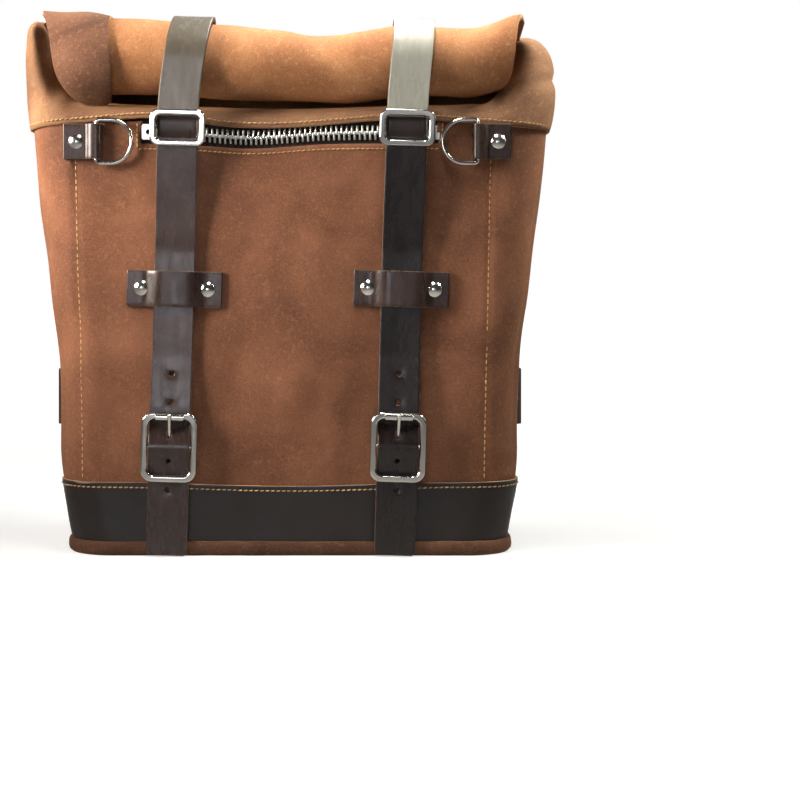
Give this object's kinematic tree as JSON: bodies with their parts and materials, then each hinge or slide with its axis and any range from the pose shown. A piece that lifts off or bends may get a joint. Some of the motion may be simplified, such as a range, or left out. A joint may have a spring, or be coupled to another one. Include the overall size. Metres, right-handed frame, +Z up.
{
  "type": "saddlebag",
  "caption": "Roll-top leather saddlebag with long buckled straps, sliders, keepers, a zip pocket, rings and back loops for a rack tube.",
  "frame": {"origin": "under the middle of the whole object, on the surface it stands on", "axes": "+Z up, the front with the straps faces -Y, +X to the viewer's right as the front is seen"},
  "size_m": [0.335, 0.1788, 0.3395],
  "materials": {
    "suede": "brushed oiled suede, nap out",
    "band_leather": "smooth dark pull-up leather, low gloss",
    "bridle_leather": "smooth dark brown bridle leather, waxed",
    "board": "pressed fibre board, matt",
    "cloth": "woven cloth",
    "zip_metal": "bright aluminium zip",
    "nickel": "bright nickel plate"
  },
  "bodies": {
    "bag": {"back_board": "board", "back_panel": "suede", "base_band": "band_leather", "base_board": "board", "base_sole": "suede", "buckle_chape_left": "bridle_leather", "buckle_chape_right": "bridle_leather", "buckle_frame_left": "nickel", "buckle_frame_right": "nickel", "collar_front": "suede", "dring_rivet_left": "nickel", "dring_rivet_right": "nickel", "dring_tab_left": "bridle_leather", "dring_tab_right": "bridle_leather", "front_panel": "suede", "keeper_left": "bridle_leather", "keeper_right": "bridle_leather", "keeper_rivets_left": "nickel", "keeper_rivets_right": "nickel", "mouth_batten": "board", "pocket_lining": "cloth", "roll_top": "suede", "shoulder_left": "suede", "shoulder_right": "suede", "side_loop_left": "bridle_leather", "side_loop_right": "bridle_leather", "side_loop_rivets_left": "nickel", "side_loop_rivets_right": "nickel", "side_panel_left": "suede", "side_panel_right": "suede", "strap_anchor_rivets_left": "nickel", "strap_anchor_rivets_right": "nickel", "strap_left": "bridle_leather", "strap_right": "bridle_leather", "tube_loop_left": "bridle_leather", "tube_loop_lower": "bridle_leather", "tube_loop_right": "bridle_leather", "tube_loop_rivets_left": "nickel", "tube_loop_rivets_lower": "nickel", "tube_loop_rivets_right": "nickel", "zip_stops": "zip_metal", "zip_tape_lower": "cloth", "zip_tape_upper": "cloth", "zip_teeth_lower": "zip_metal", "zip_teeth_upper": "zip_metal"},
    "buckle_roller_left": {"buckle_roller_left": "nickel"},
    "buckle_prong_left": {"buckle_prong_left": "nickel"},
    "strap_slider_left": {"strap_slider_left": "nickel"},
    "dring_left": {"dring_left": "nickel"},
    "buckle_roller_right": {"buckle_roller_right": "nickel"},
    "buckle_prong_right": {"buckle_prong_right": "nickel"},
    "strap_slider_right": {"strap_slider_right": "nickel"},
    "dring_right": {"dring_right": "nickel"},
    "zip_slider": {"zip_slider": "zip_metal"},
    "zip_pull": {"zip_pull": "zip_metal"}
  },
  "joints": [
    {"name": "buckle_roller_left_spin", "type": "hinge", "parent": "bag", "child": "buckle_roller_left", "pos_m": [-0.07453, -0.0835, 0.08743], "axis": [0.9996, 0, -0.0279], "continuous": true},
    {"name": "buckle_prong_left_play", "type": "hinge", "parent": "bag", "child": "buckle_prong_left", "pos_m": [-0.07505, -0.081, 0.06864], "axis": [0.9996, 0, -0.0279], "range_deg": [0, 5]},
    {"name": "strap_slider_left_slide", "type": "slide", "parent": "bag", "child": "strap_slider_left", "axis": [-0.0278, 0.1102, -0.9935], "range_m": [0, 0.05]},
    {"name": "dring_left_swing", "type": "hinge", "parent": "bag", "child": "dring_left", "pos_m": [-0.121, -0.07635, 0.259], "axis": [0, 0, -1], "range_deg": [0, 165]},
    {"name": "buckle_roller_right_spin", "type": "hinge", "parent": "bag", "child": "buckle_roller_right", "pos_m": [0.06747, -0.0835, 0.08743], "axis": [0.9996, 0, -0.0279], "continuous": true},
    {"name": "buckle_prong_right_play", "type": "hinge", "parent": "bag", "child": "buckle_prong_right", "pos_m": [0.06695, -0.081, 0.06864], "axis": [0.9996, 0, -0.0279], "range_deg": [0, 5]},
    {"name": "strap_slider_right_slide", "type": "slide", "parent": "bag", "child": "strap_slider_right", "axis": [-0.0278, 0.1102, -0.9935], "range_m": [0, 0.05]},
    {"name": "dring_right_swing", "type": "hinge", "parent": "bag", "child": "dring_right", "pos_m": [0.1175, -0.07635, 0.259], "axis": [0, 0, 1], "range_deg": [0, 165]},
    {"name": "zip_slide", "type": "slide", "parent": "bag", "child": "zip_slider", "axis": [1, 0, 0], "range_m": [0, 0.157]},
    {"name": "zip_pull_swing", "type": "hinge", "parent": "zip_slider", "child": "zip_pull", "pos_m": [-0.0735, -0.0758, 0.265], "axis": [0, 0, 1], "range_deg": [0, 5]}
  ]
}
